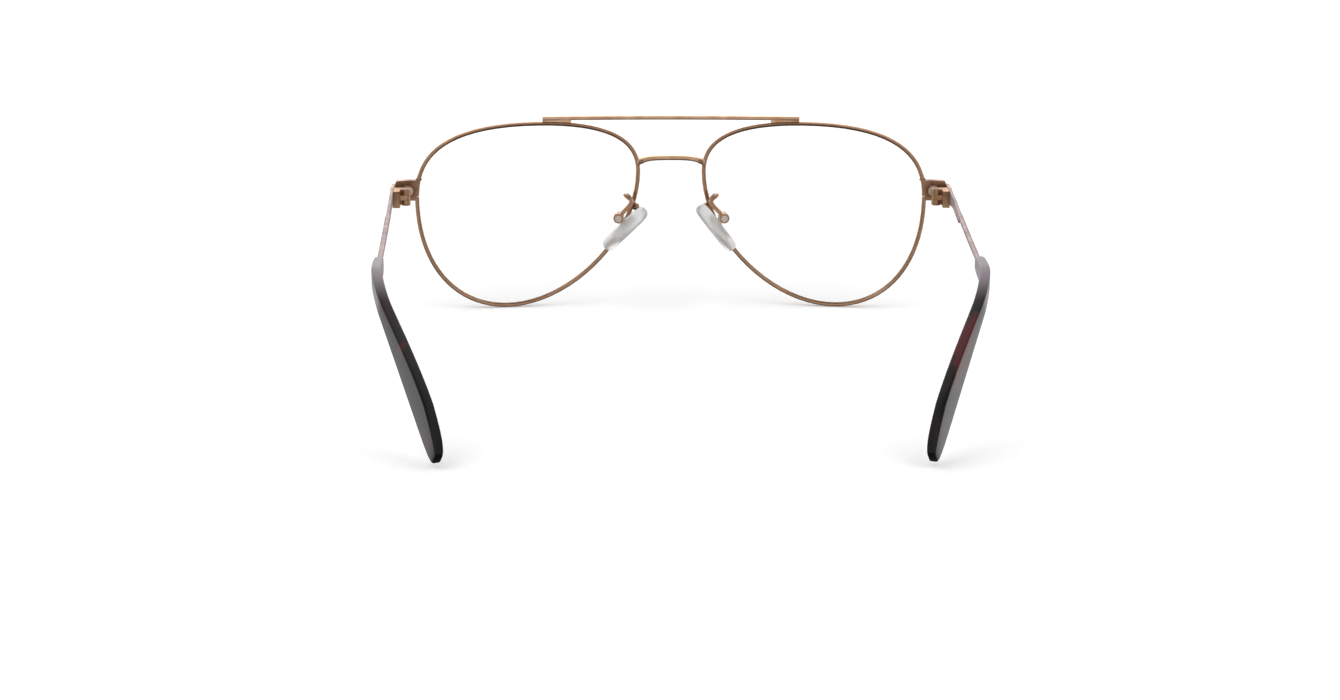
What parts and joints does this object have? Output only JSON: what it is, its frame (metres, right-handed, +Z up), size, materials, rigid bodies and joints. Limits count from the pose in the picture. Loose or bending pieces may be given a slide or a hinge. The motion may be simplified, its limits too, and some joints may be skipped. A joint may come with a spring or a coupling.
{
  "type": "eyeglass frame",
  "caption": "Full-rim metal aviator eyeglass frame with a double bridge, folding temples, rocking nose pads and magnet end pieces for a clip-on.",
  "frame": {"origin": "centre of the open frame's box in X and Y, at the level that rims and temple tips stand on", "axes": "+X to the wearer's left, +Y from the lenses back along the temples, +Z up"},
  "size_m": [0.1414, 0.1396, 0.0483],
  "materials": {
    "rose_gold": "polished rose-gold plating over nickel-silver",
    "steel": "turned screw steel",
    "nickel": "nickel-plated magnet",
    "lens": "clear polished lens",
    "acetate": "polished dark acetate with red patches",
    "insert": "plated pad core",
    "silicone": "clear satin silicone"
  },
  "bodies": {
    "front": {"bridge": "rose_gold", "brow_bar": "rose_gold", "left_rim": "rose_gold", "left_lens": "lens", "left_end_piece": "rose_gold", "left_lock_block": "rose_gold", "left_lock_screw": "steel", "left_magnet": "nickel", "left_front_leaf": "rose_gold", "left_hinge_screw": "steel", "left_pad_arm": "rose_gold", "left_pad_box": "rose_gold", "left_pad_screw": "steel", "right_rim": "rose_gold", "right_lens": "lens", "right_end_piece": "rose_gold", "right_lock_block": "rose_gold", "right_lock_screw": "steel", "right_magnet": "nickel", "right_front_leaf": "rose_gold", "right_hinge_screw": "steel", "right_pad_arm": "rose_gold", "right_pad_box": "rose_gold", "right_pad_screw": "steel"},
    "left_temple": {"left_temple_leaf": "rose_gold", "left_temple_arm": "rose_gold", "left_temple_tip": "acetate"},
    "right_temple": {"right_temple_leaf": "rose_gold", "right_temple_arm": "rose_gold", "right_temple_tip": "acetate"},
    "left_pad": {"left_pad_insert": "insert", "left_nose_pad": "silicone"},
    "right_pad": {"right_pad_insert": "insert", "right_nose_pad": "silicone"}
  },
  "joints": [
    {"name": "left_temple_fold", "type": "hinge", "parent": "front", "child": "left_temple", "pos_m": [0.06685, -0.05696, 0.0297], "axis": [0, 0, 1], "range_deg": [0, 83]},
    {"name": "right_temple_fold", "type": "hinge", "parent": "front", "child": "right_temple", "pos_m": [-0.06685, -0.05696, 0.0297], "axis": [0, 0, -1], "range_deg": [0, 73]},
    {"name": "left_pad_rock", "type": "hinge", "parent": "front", "child": "left_pad", "pos_m": [0.01335, -0.0599, 0.02379], "axis": [0.0518, 0.9976, 0.0467], "range_deg": [-6, 6]},
    {"name": "right_pad_rock", "type": "hinge", "parent": "front", "child": "right_pad", "pos_m": [-0.01335, -0.0599, 0.02379], "axis": [0.0518, -0.9976, -0.0467], "range_deg": [-6, 6]}
  ]
}
